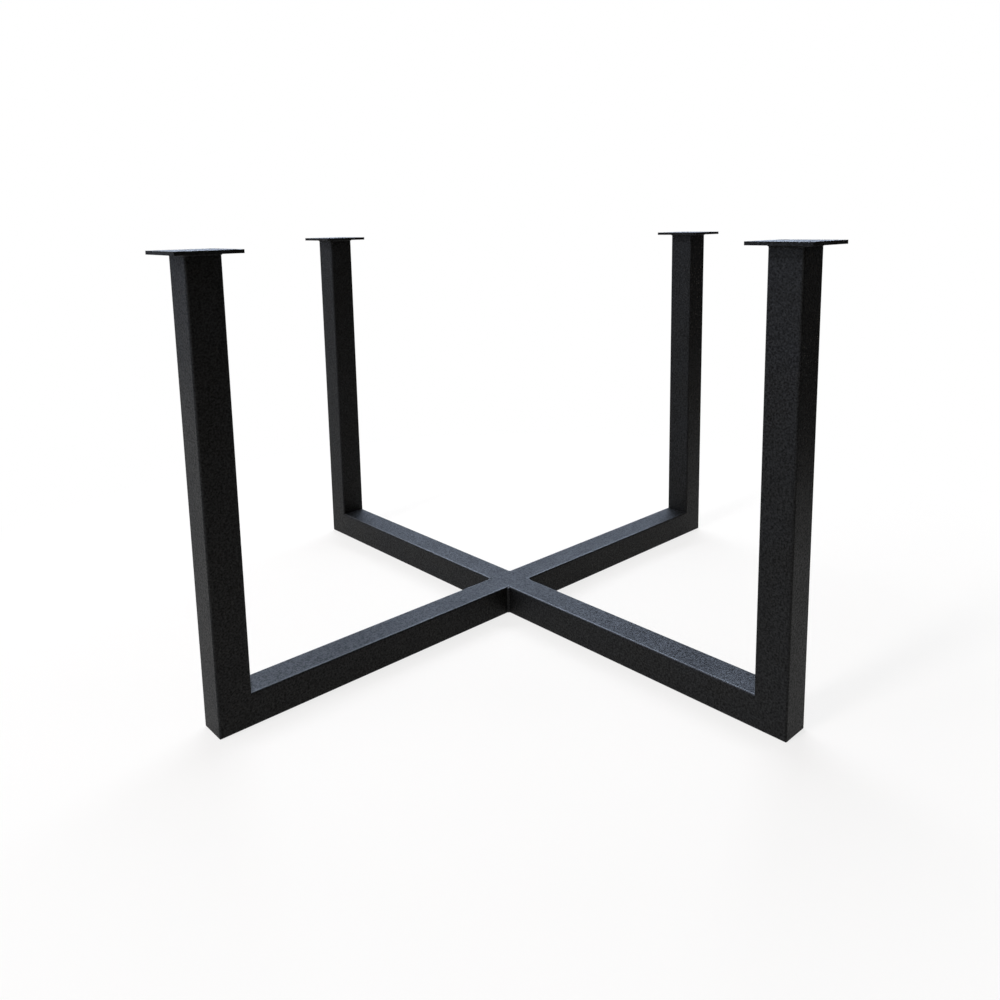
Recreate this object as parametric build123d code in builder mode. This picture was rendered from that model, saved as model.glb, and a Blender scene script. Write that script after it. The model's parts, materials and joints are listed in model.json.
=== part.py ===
from build123d import *
from math import cos, radians, sin
import os

os.makedirs("parts", exist_ok=True)

# Overall sizes, mm. The floor is z = 0 and the two rails cross over the origin.
overall_height = 400
rail_length = 680
# Bearing of the rail that runs through the crossing
rail_angle = 45
# Square box section of the rails and uprights
section = 30
wall = 1.5
corner_radius = 2
# Plates that take the table top
plate_side = 55
plate_thickness = 3
screw_hole_diameter = 5
screw_hole_to_edge = 6.5
# Welds
corner_weld_gap = 1.2
corner_weld_flat = 0.8
cross_weld_leg = 3
cross_weld_crown = 0.5
plate_weld_leg = 1.5
plate_weld_toe = 0.3

bore = section - 2 * wall
bore_radius = corner_radius - wall
reach = rail_length / 2
upright_reach = reach - section / 2
plate_underside = overall_height - plate_thickness
plate_weld_low_side = section + 2 * plate_weld_toe
screw_hole_pitch = plate_side - 2 * screw_hole_to_edge

# Bearings are measured from +X, and the front is -Y. The rails cross square to each other.
bearings = {
    "front_left": rail_angle + 180,
    "front_right": rail_angle + 270,
    "back_right": rail_angle,
    "back_left": rail_angle + 90,
}
inside_corner_bearings = {
    "front": rail_angle + 225,
    "right": rail_angle + 315,
    "back": rail_angle + 45,
    "left": rail_angle + 135,
}


def along(bearing, distance, height):
    return (distance * cos(radians(bearing)), distance * sin(radians(bearing)), height)


# Level plane with its x axis running out along the arm
def level(bearing, distance, height):
    return Plane(along(bearing, distance, height), x_dir=along(bearing, 1, 0), z_dir=(0, 0, 1))


# Plane square to the arm, facing outwards, y upwards
def square_to(bearing, distance, height):
    return Plane(along(bearing, distance, height), x_dir=along(bearing + 90, 1, 0), z_dir=along(bearing, 1, 0))


# Plane of the 45 degree mitre between rail and upright, facing up and outwards
def mitre(bearing):
    centre = along(bearing, upright_reach, section / 2)
    return Plane(centre, x_dir=along(bearing + 90, 1, 0), z_dir=along(bearing, 1, 1))


# Box section outline
def box_section():
    RectangleRounded(section, section, corner_radius)
    RectangleRounded(bore, bore, bore_radius, mode=Mode.SUBTRACT)


# The rail that runs through the crossing, mitred at both ends
with BuildPart() as through_rail:
    with BuildSketch(square_to(bearings["back_right"], -reach, section / 2)):
        box_section()
    extrude(amount=rail_length)
    for leg in ("front_left", "back_right"):
        split(bisect_by=mitre(bearings[leg]).offset(-corner_weld_gap / 2), keep=Keep.BOTTOM)
through_rail.part.label = "through_rail"
export_step(through_rail.part, "parts/through_rail.step")

# The crossing rail is in two halves, each butted against a side of the through rail
for leg in ("front_right", "back_left"):
    bearing = bearings[leg]

    with BuildPart() as half_rail:
        with BuildSketch(square_to(bearing, section / 2, section / 2)):
            box_section()
        extrude(amount=reach - section / 2)
        split(bisect_by=mitre(bearing).offset(-corner_weld_gap / 2), keep=Keep.BOTTOM)
    half_rail.part.label = f"half_rail_{leg}"
    export_step(half_rail.part, f"parts/half_rail_{leg}.step")

    # Weld filling the groove over the rounded edge of the through rail, ground flush
    for level_name, turn, height in (
        ("top", 1, section - corner_radius),
        ("bottom", -1, corner_radius),
    ):
        groove = Plane(
            along(bearing, section / 2 - corner_radius, height),
            x_dir=along(bearing, 1, 0),
            z_dir=along(bearing - 90 * turn, 1, 0),
        )
        with BuildPart() as seam_weld:
            with BuildSketch(groove):
                Rectangle(corner_radius, corner_radius, align=(Align.MIN, Align.MIN))
                Circle(corner_radius, mode=Mode.SUBTRACT)
            extrude(amount=section / 2 - corner_radius, both=True)
        seam_weld.part.label = f"seam_weld_{leg}_{level_name}"
        export_step(seam_weld.part, f"parts/seam_weld_{leg}_{level_name}.step")

# Upright fillet welds in the four inside corners of the crossing
for side, bearing in inside_corner_bearings.items():
    inside_corner = section / 2 / cos(radians(45))
    toe = cross_weld_leg * cos(radians(45))
    with BuildPart() as cross_weld:
        with BuildSketch(level(bearing, inside_corner, corner_radius)):
            with BuildLine():
                Polyline((toe, toe), (0, 0), (toe, -toe))
                ThreePointArc((toe, -toe), (toe + cross_weld_crown, 0), (toe, toe))
            make_face()
        extrude(amount=section - 2 * corner_radius)
    cross_weld.part.label = f"cross_weld_{side}"
    export_step(cross_weld.part, f"parts/cross_weld_{side}.step")

for leg, bearing in bearings.items():
    with BuildPart() as upright:
        with BuildSketch(level(bearing, upright_reach, 0)):
            box_section()
        extrude(amount=plate_underside)
        split(bisect_by=mitre(bearing).offset(corner_weld_gap / 2), keep=Keep.TOP)
    upright.part.label = f"upright_{leg}"
    export_step(upright.part, f"parts/upright_{leg}.step")

    # Weld that fills the gap of the mitre, ground flush, with a small flat on the outside corner
    with BuildPart() as corner_weld:
        with BuildSketch(square_to(bearing, reach - 2 * section, section / 2)):
            RectangleRounded(section, section, corner_radius)
            Rectangle(bore, bore, mode=Mode.SUBTRACT)
        extrude(amount=2 * section)
        split(bisect_by=mitre(bearing), keep=Keep.BOTTOM)
        split(bisect_by=mitre(bearing).offset(-corner_weld_gap / 2), keep=Keep.TOP)
        across_mitre = Axis((0, 0, 0), mitre(bearing).z_dir)
        mitre_face = corner_weld.faces().filter_by(across_mitre).sort_by(across_mitre)[-1]
        extrude(mitre_face, amount=corner_weld_gap / 2 / cos(radians(45)), dir=(0, 0, 1))
        outer_corner = Plane(
            along(bearing, reach - corner_weld_flat / 2, corner_weld_flat / 2),
            x_dir=along(bearing + 90, 1, 0),
            z_dir=along(bearing, 1, -1),
        )
        split(bisect_by=outer_corner, keep=Keep.BOTTOM)
    corner_weld.part.label = f"corner_weld_{leg}"
    export_step(corner_weld.part, f"parts/corner_weld_{leg}.step")

    with BuildPart() as top_plate:
        with BuildSketch(level(bearing, upright_reach, plate_underside)):
            Rectangle(plate_side, plate_side)
            with GridLocations(screw_hole_pitch, screw_hole_pitch, 2, 2):
                Circle(screw_hole_diameter / 2, mode=Mode.SUBTRACT)
        extrude(amount=plate_thickness)
    top_plate.part.label = f"top_plate_{leg}"
    export_step(top_plate.part, f"parts/top_plate_{leg}.step")

    # Fillet weld that runs round the upright under its plate, with its face at 45 degrees
    with BuildPart() as plate_weld:
        with BuildSketch(level(bearing, upright_reach, plate_underside - plate_weld_leg)):
            RectangleRounded(plate_weld_low_side, plate_weld_low_side, corner_radius + plate_weld_toe)
        extrude(amount=plate_weld_leg, taper=-45)
        with BuildSketch(level(bearing, upright_reach, plate_underside)):
            RectangleRounded(section, section, corner_radius)
        extrude(amount=-plate_weld_leg, mode=Mode.SUBTRACT)
    plate_weld.part.label = f"plate_weld_{leg}"
    export_step(plate_weld.part, f"parts/plate_weld_{leg}.step")
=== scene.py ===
import bpy, bmesh, json, math
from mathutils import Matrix, Quaternion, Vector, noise


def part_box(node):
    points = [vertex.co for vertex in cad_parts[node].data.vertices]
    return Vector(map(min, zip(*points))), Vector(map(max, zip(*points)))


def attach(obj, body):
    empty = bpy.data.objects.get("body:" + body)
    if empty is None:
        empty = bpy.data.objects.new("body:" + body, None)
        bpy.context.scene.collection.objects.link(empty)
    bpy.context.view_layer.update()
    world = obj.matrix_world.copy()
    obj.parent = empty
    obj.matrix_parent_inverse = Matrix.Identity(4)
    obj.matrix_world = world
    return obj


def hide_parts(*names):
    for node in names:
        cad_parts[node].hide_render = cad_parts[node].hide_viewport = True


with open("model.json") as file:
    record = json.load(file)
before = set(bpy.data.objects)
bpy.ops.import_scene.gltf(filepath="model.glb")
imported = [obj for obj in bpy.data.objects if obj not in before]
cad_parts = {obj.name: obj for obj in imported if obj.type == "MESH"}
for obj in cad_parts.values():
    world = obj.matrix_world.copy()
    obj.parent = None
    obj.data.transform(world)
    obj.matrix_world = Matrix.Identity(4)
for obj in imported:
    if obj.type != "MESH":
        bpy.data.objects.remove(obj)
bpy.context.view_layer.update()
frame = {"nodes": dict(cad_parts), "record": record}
print("frame in:", len(frame["nodes"]), "nodes")

scene = bpy.context.scene
scene.view_settings.view_transform = "Standard"

# camera, fitted to the photograph
cameraSetup = {
    "place": (0.0344, -0.8797, 0.4184), "aim": (0.0029, 0.0, 0.2797),     # metres
    "roll": -0.955,                             # degrees, the camera's right side dips
    "lens": 30.45, "sensor": 36,                # millimetres
    "shift": (-0.008, -0.1461),
    "clip": (0.01, 60),
}


def aimCamera(setup):
    data = bpy.data.cameras.new("photoCamera")
    data.sensor_width = setup["sensor"]
    data.lens = setup["lens"]
    data.shift_x, data.shift_y = setup["shift"]
    data.clip_start, data.clip_end = setup["clip"]
    cam = bpy.data.objects.new("photoCamera", data)
    scene.collection.objects.link(cam)
    cam.location = setup["place"]
    look = Vector(setup["aim"]) - Vector(setup["place"])
    tilt = Quaternion((0, 0, 1), math.radians(setup["roll"]))
    cam.rotation_mode = "QUATERNION"
    cam.rotation_quaternion = look.to_track_quat("-Z", "Y") @ tilt
    scene.camera = cam


aimCamera(cameraSetup)
print("camera placed")

# powder coat: dark base, slow mottle, fine cured grain over a faint orange peel
tubeCoat = {
    "dark": (0.0046, 0.0042, 0.0034), "light": (0.0062, 0.0061, 0.0058),
    "mottleScale": 26, "mottleDetail": 4, "mottleBand": (0.3, 0.7),
    "rough": (0.48, 0.56),                      # from the dark to the light of the mottle
    "grainScale": 620, "grainDetail": 3, "grainRough": 0.6, "grainBand": (0.36, 0.64),
    "grainStrength": 0.55, "grainDepth": 0.0004,
    "speckle": 1.0,
    "specular": (0.05, 0.205),                  # from the pits to the tops of the grain
    "sheenTint": (0.92, 0.94, 0.96),
    # painted highlight: extra specular level on the upper rounded edges, standing in for the light they catch
    # from above
    "paintedEdgeHighlight": 0.42,
    "paintedHighlightStops": (0.60, 0.80, 0.985, 0.999),    # upward lean where the painted edge highlight starts, is full, and ends
    "peelScale": 240, "peelDetail": 1, "peelStrength": 0.35, "peelDepth": 0.00035,
}
plateCoat = dict(tubeCoat, mottleScale=34, specular=(0.03, 0.14), paintedEdgeHighlight=0.0, grainStrength=0.4)
weldCoat = dict(tubeCoat, rough=(0.44, 0.52), grainStrength=0.5)


def addNoise(tree, where, scale, detail):
    cloud = tree.nodes.new("ShaderNodeTexNoise")
    cloud.inputs["Scale"].default_value = scale
    cloud.inputs["Detail"].default_value = detail
    tree.links.new(where.outputs["Object"], cloud.inputs["Vector"])
    return cloud


def addRange(tree, value, band, span):
    remap = tree.nodes.new("ShaderNodeMapRange")
    remap.inputs["From Min"].default_value, remap.inputs["From Max"].default_value = band
    remap.inputs["To Min"].default_value, remap.inputs["To Max"].default_value = span
    tree.links.new(value, remap.inputs["Value"])
    return remap.outputs["Result"]


def addBump(tree, height, strength, depth):
    bump = tree.nodes.new("ShaderNodeBump")
    bump.inputs["Strength"].default_value = strength
    bump.inputs["Distance"].default_value = depth
    tree.links.new(height, bump.inputs["Height"])
    return bump


def makeCoat(name, coat):
    mat = bpy.data.materials.new(name)
    mat.use_nodes = True
    tree = mat.node_tree
    nodes, links = tree.nodes, tree.links
    bsdf = nodes["Principled BSDF"]
    bsdf.inputs["Specular Tint"].default_value = (*coat["sheenTint"], 1)
    where = nodes.new("ShaderNodeTexCoord")

    mottle = addNoise(tree, where, coat["mottleScale"], coat["mottleDetail"])
    shade = nodes.new("ShaderNodeValToRGB")
    tones = zip(shade.color_ramp.elements, coat["mottleBand"], (coat["dark"], coat["light"]))
    for stop, place, tone in tones:
        stop.position, stop.color = place, (*tone, 1)
    links.new(mottle.outputs["Fac"], shade.inputs["Fac"])
    dull = addRange(tree, mottle.outputs["Fac"], coat["mottleBand"], coat["rough"])
    links.new(dull, bsdf.inputs["Roughness"])

    grain = addNoise(tree, where, coat["grainScale"], coat["grainDetail"])
    grain.inputs["Roughness"].default_value = coat["grainRough"]
    speckle = nodes.new("ShaderNodeMixRGB")     # grain tops catch a little more light
    speckle.blend_type = "OVERLAY"
    speckle.inputs["Fac"].default_value = coat["speckle"]
    links.new(shade.outputs["Color"], speckle.inputs["Color1"])
    links.new(grain.outputs["Fac"], speckle.inputs["Color2"])
    links.new(speckle.outputs["Color"], bsdf.inputs["Base Color"])

    # the pits between the grains give less sheen, and a painted highlight adds specular where an upper edge
    # rounds over, for the light it catches from above
    pits = addRange(tree, grain.outputs["Fac"], coat["grainBand"], coat["specular"])
    facing = nodes.new("ShaderNodeNewGeometry")
    upward = nodes.new("ShaderNodeSeparateXYZ")
    links.new(facing.outputs["Normal"], upward.inputs["Vector"])
    # mask of the painted edge highlight, from how far the surface leans up
    highlightMask = nodes.new("ShaderNodeValToRGB")
    stops, (start, full, still, end) = highlightMask.color_ramp.elements, coat["paintedHighlightStops"]
    for place in (full, still):
        stops.new(place).color = (1, 1, 1, 1)
    for stop, place in ((stops[0], start), (stops[3], end)):
        stop.position, stop.color = place, (0, 0, 0, 1)
    links.new(upward.outputs["Z"], highlightMask.inputs["Fac"])
    # specular level: the grain pits plus the painted edge highlight
    pitsAndPaintedHighlight = nodes.new("ShaderNodeMath")
    pitsAndPaintedHighlight.operation = "MULTIPLY_ADD"
    pitsAndPaintedHighlight.inputs[1].default_value = coat["paintedEdgeHighlight"]
    links.new(highlightMask.outputs["Color"], pitsAndPaintedHighlight.inputs[0])
    links.new(pits, pitsAndPaintedHighlight.inputs[2])
    links.new(pitsAndPaintedHighlight.outputs["Value"], bsdf.inputs["Specular IOR Level"])

    peel = addNoise(tree, where, coat["peelScale"], coat["peelDetail"])
    peelBump = addBump(tree, peel.outputs["Fac"], coat["peelStrength"], coat["peelDepth"])
    grainBump = addBump(tree, grain.outputs["Fac"], coat["grainStrength"], coat["grainDepth"])
    links.new(peelBump.outputs["Normal"], grainBump.inputs["Normal"])
    links.new(grainBump.outputs["Normal"], bsdf.inputs["Normal"])
    return mat


coats = {
    "tube_coat": makeCoat("tubeCoat", tubeCoat),
    "plate_coat": makeCoat("plateCoat", plateCoat),
    "weld_coat": makeCoat("weldCoat", weldCoat),
}
print("coats mixed")


def dressNode(name, mat):
    obj = frame["nodes"][name]
    obj.data.materials.clear()
    obj.data.materials.append(mat)


for part in frame["record"]["subparts"]:
    dressNode(part["node"], coats[part["material_slot"]])
print("CAD pieces coated")


def makePiece(name, verts, faces, slotName):
    mesh = bpy.data.meshes.new(name)
    mesh.from_pydata(verts, [], faces)
    mesh.validate()
    mesh.update()
    bm = bmesh.new()
    bm.from_mesh(mesh)
    bmesh.ops.recalc_face_normals(bm, faces=bm.faces)
    bm.to_mesh(mesh)
    bm.free()
    mesh.polygons.foreach_set("use_smooth", [True] * len(mesh.polygons))
    mesh.materials.append(coats[slotName])
    obj = bpy.data.objects.new(name, mesh)
    scene.collection.objects.link(obj)
    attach(obj, "root")
    return obj


# rings of points -> skin; closed joins the last ring to the first, otherwise both ends are capped
def skinRings(rings, closed):
    n, count = len(rings[0]), len(rings)
    verts = [p for ring in rings for p in ring]
    faces = []
    for i in range(count if closed else count - 1):
        j = (i + 1) % count
        for k in range(n):
            m = (k + 1) % n
            faces.append((i * n + k, i * n + m, j * n + m, j * n + k))
    if not closed:
        faces.append(tuple(range(n)))
        faces.append(tuple((count - 1) * n + k for k in range(n)))
    return verts, faces


# what all beads share: how unsteady the hand is, and how each scale rises and thins out to the sides
handRun = {"wobble": 0.35, "wobblePace": 90, "wobbleSlice": 0.3, "attack": 6, "taper": 0.6}


# overlapping scales of a hand-run bead, crescent shaped across its width
def rippleAt(distance, across, bead, seed):
    bow = bead["bow"] * math.sin(math.pi * across)
    drift = noise.noise(Vector((distance * bead["wobblePace"], seed, bead["wobbleSlice"])))
    wobble = bead["wobble"] * bead["pitch"] * drift
    phase = ((distance - bow + wobble) / bead["pitch"]) % 1.0
    scale = math.sqrt(1 - phase) * min(1.0, phase * bead["attack"])
    return bead["ripple"] * scale * math.sin(math.pi * across) ** bead["taper"]


# leg of the bead, a little fuller here and leaner there
def legAt(distance, bead, seed):
    drift = noise.noise(Vector((distance * bead["unevenPace"], seed, bead["unevenSlice"])))
    return bead["leg"] * (1 + bead["uneven"] * drift)


# the tube, from the frame
railLow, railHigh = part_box("through_rail")
boxSection = {
    "side": railHigh.z - railLow.z,
    "corner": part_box("cross_weld_front")[0].z - railLow.z,      # that weld starts where the wall turns flat
}
slant = math.sqrt(0.5)                          # sine of 45 degrees

# bead round the upright under its plate
plateBead = dict(
    handRun, leg=0.0012, crown=0.00018, ripple=0.00012, pitch=0.0017, bow=0.0006,      # metres
    uneven=0.07, unevenPace=60, unevenSlice=4.1,
    step=0.00036, across=7,
    root=0.0003,                                # how far it reaches into the wall
    firstSeed=3.7, seedStep=5.3,
)
legNames = ("front_left", "front_right", "back_right", "back_left")


# points round the box section, with the outward direction at each
def sectionOutline(side, corner, step):
    half, flat = side / 2, side / 2 - corner
    path = []
    for quarter in range(4):
        turn = math.radians(90 * quarter)
        c, s = math.cos(turn), math.sin(turn)
        runs = max(2, round(2 * flat / step))
        for i in range(runs):
            x, y = half, -flat + 2 * flat * i / runs
            path.append(((x * c - y * s, x * s + y * c), (c, s)))
        bends = max(3, round(corner * math.pi / 2 / step))
        for i in range(bends):
            a = math.pi / 2 * i / bends
            x, y = flat + corner * math.cos(a), flat + corner * math.sin(a)
            nx, ny = math.cos(a), math.sin(a)
            path.append(((x * c - y * s, x * s + y * c), (nx * c - ny * s, nx * s + ny * c)))
    return path


def makePlateBead(leg, bead, seed):
    low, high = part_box("top_plate_" + leg)
    centre = Vector(((low.x + high.x) / 2, (low.y + high.y) / 2, low.z))
    c, s = centre.xy.normalized()
    rings, run, last = [], 0.0, None
    for (x, y), (nx, ny) in sectionOutline(boxSection["side"], boxSection["corner"], bead["step"]):
        foot = Vector((x * c - y * s, x * s + y * c, 0)) + centre
        out = Vector((nx * c - ny * s, nx * s + ny * c, 0))
        run += (foot - last).length if last is not None else 0.0
        last = foot
        size = legAt(run, bead, seed)
        ring = []
        for k in range(bead["across"]):
            a = k / (bead["across"] - 1)
            rise = (bead["crown"] * math.sin(math.pi * a) + rippleAt(run, a, bead, seed)) * slant
            ring.append(foot + out * (size * a + rise) - Vector((0, 0, size * (1 - a) + rise)))
        ring.append(foot - out * bead["root"])
        rings.append(ring)
    obj = makePiece("plateBead_" + leg, *skinRings(rings, True), "weld_coat")
    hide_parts("plate_weld_" + leg)


for i, leg in enumerate(legNames):
    makePlateBead(leg, plateBead, plateBead["firstSeed"] + plateBead["seedStep"] * i)
print("plate beads laid")

# upright bead in each inside corner of the crossing
crossBead = dict(
    handRun, leg=0.0031, crown=0.0006, ripple=0.00020, pitch=0.0022, bow=0.0012,       # metres
    uneven=0.06, unevenPace=80, unevenSlice=1.7,
    lowGap=0.0006, topGap=0.0008,               # to the floor and to the top of the rail
    steps=90, across=9,
    endSize=0.55, endGrowth=5,                  # it starts and stops thin
    root=0.0006,                                # how far it reaches into the corner
    firstSeed=11.3, seedStep=3.1,
)
cornerBearings = {"front": 270, "right": 0, "back": 90, "left": 180}


# how far the side wall has curved back at this height
def wallInset(z):
    r, side = boxSection["corner"], boxSection["side"]
    d = max(r - z, z - (side - r), 0.0)
    return r - math.sqrt(max(r * r - d * d, 0.0))


def makeCrossBead(name, bearing, bead, seed):
    turn = math.radians(bearing)
    out = Vector((math.cos(turn), math.sin(turn), 0))
    aside = Vector((-out.y, out.x, 0))
    low, high = bead["lowGap"], boxSection["side"] - bead["topGap"]
    rings = []
    for i in range(bead["steps"] + 1):
        t = i / bead["steps"]
        z = low + (high - low) * t
        swell = min(1.0, bead["endSize"] + bead["endGrowth"] * min(t, 1 - t))
        reach = legAt(z, bead, seed) * swell * slant
        corner = out * ((boxSection["side"] / 2 - wallInset(z)) / slant) + Vector((0, 0, z))
        ring = []
        for k in range(bead["across"]):
            a = k / (bead["across"] - 1)
            rise = (bead["crown"] * math.sin(math.pi * a) + rippleAt(z, a, bead, seed)) * swell
            ring.append(corner + out * (reach + rise) + aside * (reach * (2 * a - 1)))
        ring.append(corner - out * bead["root"])
        rings.append(ring)
    obj = makePiece("crossBead_" + name, *skinRings(rings, False), "weld_coat")
    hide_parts("cross_weld_" + name)


for i, (name, bearing) in enumerate(cornerBearings.items()):
    makeCrossBead(name, bearing, crossBead, crossBead["firstSeed"] + crossBead["seedStep"] * i)
print("cross beads laid")


# 1 for what the camera sees, straight, in a reflection or through glass,
# and 0 for the light that is thrown about
def eyeRays(tree):
    path = tree.nodes.new("ShaderNodeLightPath")
    seen = path.outputs["Is Camera Ray"]
    for ray in ("Is Glossy Ray", "Is Transmission Ray"):
        either = tree.nodes.new("ShaderNodeMath")
        either.operation = "MAXIMUM"
        tree.links.new(seen, either.inputs[0])
        tree.links.new(path.outputs[ray], either.inputs[1])
        seen = either.outputs["Value"]
    return seen


# floor: white to the eye and in reflections, with the shadow left in,
# and a touch warm in the light it throws back
floorSetup = {
    "half": 6.0, "drop": 0.0002,
    "shade": (0.80, 0.68, 0.54),
    "lift": 0.78,                               # share of plain white near the base
    "fadeFrom": 0.42, "fadeTo": 0.76,           # metres from the middle, plain white beyond
}


def makeFloor(setup):
    mesh = bpy.data.meshes.new("studioFloor")
    h, z = setup["half"], -setup["drop"]
    mesh.from_pydata([(-h, -h, z), (h, -h, z), (h, h, z), (-h, h, z)], [], [(0, 1, 2, 3)])
    obj = bpy.data.objects.new("studioFloor", mesh)
    scene.collection.objects.link(obj)
    mat = bpy.data.materials.new("studioFloor")
    mat.use_nodes = True
    tree = mat.node_tree
    nodes, links = tree.nodes, tree.links
    nodes.clear()
    where = nodes.new("ShaderNodeTexCoord")
    reach = nodes.new("ShaderNodeVectorMath")
    reach.operation = "LENGTH"
    links.new(where.outputs["Object"], reach.inputs[0])
    fade = addRange(tree, reach.outputs["Value"], (setup["fadeFrom"], setup["fadeTo"]), (setup["lift"], 1))
    lift = nodes.new("ShaderNodeMath")
    lift.operation = "MULTIPLY"
    links.new(fade, lift.inputs[0])
    links.new(eyeRays(tree), lift.inputs[1])

    matt = nodes.new("ShaderNodeBsdfDiffuse")
    matt.inputs["Color"].default_value = (*setup["shade"], 1)
    glow = nodes.new("ShaderNodeEmission")
    glow.inputs["Strength"].default_value = 1
    blend = nodes.new("ShaderNodeMixShader")
    links.new(lift.outputs["Value"], blend.inputs["Fac"])
    links.new(matt.outputs["BSDF"], blend.inputs[1])
    links.new(glow.outputs["Emission"], blend.inputs[2])
    out = nodes.new("ShaderNodeOutputMaterial")
    links.new(blend.outputs["Shader"], out.inputs["Surface"])
    mesh.materials.append(mat)


makeFloor(floorSetup)
print("floor down")

# flags and boards, unseen by the camera: the right-hand faces stay deep, and the rail tops even
flagSetup = {
    "rough": 0.9,
    "walls": {
        "flagRight": {"from": (0.75, -1.8), "to": (0.75, 0.15), "top": 2.4, "shade": (0.09, 0.08, 0.065)},
        "boardRight": {"from": (0.75, 0.15), "to": (0.95, 1.4), "top": 2.4, "shade": (0.13, 0.11, 0.09)},
        "boardLeft": {"from": (-2.4, 0.2), "to": (-2.4, 2.2), "top": 0.9, "shade": (0.24, 0.26, 0.31)},
        "flagBack": {"from": (-2.2, 2.3), "to": (2.2, 2.3), "top": 0.98, "shade": (0.05, 0.05, 0.05)},
    },
}


def makeFlag(name, wall, rough):
    mesh = bpy.data.meshes.new(name)
    (x0, y0), (x1, y1), top = wall["from"], wall["to"], wall["top"]
    mesh.from_pydata([(x0, y0, 0), (x1, y1, 0), (x1, y1, top), (x0, y0, top)], [], [(0, 1, 2, 3)])
    obj = bpy.data.objects.new(name, mesh)
    scene.collection.objects.link(obj)
    mat = bpy.data.materials.new(name)
    mat.use_nodes = True
    bsdf = mat.node_tree.nodes["Principled BSDF"]
    bsdf.inputs["Base Color"].default_value = (*wall["shade"], 1)
    bsdf.inputs["Roughness"].default_value = rough
    mesh.materials.append(mat)
    obj.visible_camera = False


for name, wall in flagSetup["walls"].items():
    makeFlag(name, wall, flagSetup["rough"])
print("flags up:", len(flagSetup["walls"]))

# white studio all round to the eye and in reflections, dimmer as fill
studio = {"fill": 0.16, "fillTint": (0.93, 0.96, 1.0)}


def lightStudio(setup):
    world = bpy.data.worlds.new("studio")
    scene.world = world
    world.use_nodes = True
    tree = world.node_tree
    nodes, links = tree.nodes, tree.links
    nodes.clear()
    fill = nodes.new("ShaderNodeBackground")
    fill.inputs["Color"].default_value = (*setup["fillTint"], 1)
    fill.inputs["Strength"].default_value = setup["fill"]
    white = nodes.new("ShaderNodeBackground")
    white.inputs["Color"].default_value = (1, 1, 1, 1)
    white.inputs["Strength"].default_value = 1
    blend = nodes.new("ShaderNodeMixShader")
    links.new(eyeRays(tree), blend.inputs["Fac"])
    links.new(fill.outputs["Background"], blend.inputs[1])
    links.new(white.outputs["Background"], blend.inputs[2])
    out = nodes.new("ShaderNodeOutputWorld")
    links.new(blend.outputs["Shader"], out.inputs["Surface"])


lightStudio(studio)

# softboxes, cool in tint: the blue of the rail tops is theirs
softboxes = {
    "keyLeft": {
        "place": (-1.5, -1.5, 2.2), "aim": (0, 0, 0.2),
        "size": (0.4, 0.4), "watts": 58, "tint": (0.72, 0.80, 1.0),
    },
    "backSky": {
        "place": (0, 2.6, 1.6), "aim": (0, 0, 0.1),
        "size": (3.2, 0.9), "watts": 38, "tint": (0.62, 0.74, 1.0),
    },
    "backStrip": {
        "place": (0, 1.6, 1.7), "aim": (0, 0, 0.1),
        "size": (2.4, 0.2), "watts": 84, "tint": (0.64, 0.77, 1.0),
    },
    "windowLeft": {
        "place": (-2.2, -0.95, 0.75), "aim": (0, -0.2, 0.3),
        "size": (0.9, 0.9), "watts": 13, "tint": (0.62, 0.72, 1.0),
    },
    "behindLeft": {
        "place": (-1.9, 2.0, 0.8), "aim": (0, 0, 0.2),
        "size": (0.8, 0.8), "watts": 16, "tint": (0.84, 0.90, 1.0),
    },
    "behindRight": {
        "place": (1.9, 2.0, 0.8), "aim": (0, 0, 0.2),
        "size": (0.8, 0.8), "watts": 16, "tint": (0.84, 0.90, 1.0),
    },
}


def addSoftbox(name, box):
    data = bpy.data.lights.new(name, "AREA")
    data.shape = "RECTANGLE"
    data.size, data.size_y = box["size"]
    data.energy = box["watts"]
    data.color = box["tint"]
    obj = bpy.data.objects.new(name, data)
    scene.collection.objects.link(obj)
    obj.location = box["place"]
    look = Vector(box["aim"]) - Vector(box["place"])
    obj.rotation_mode = "QUATERNION"
    obj.rotation_quaternion = look.to_track_quat("-Z", "Y")
    obj.visible_camera = False


for name, box in softboxes.items():
    addSoftbox(name, box)
print("lights set:", len(softboxes), "softboxes")
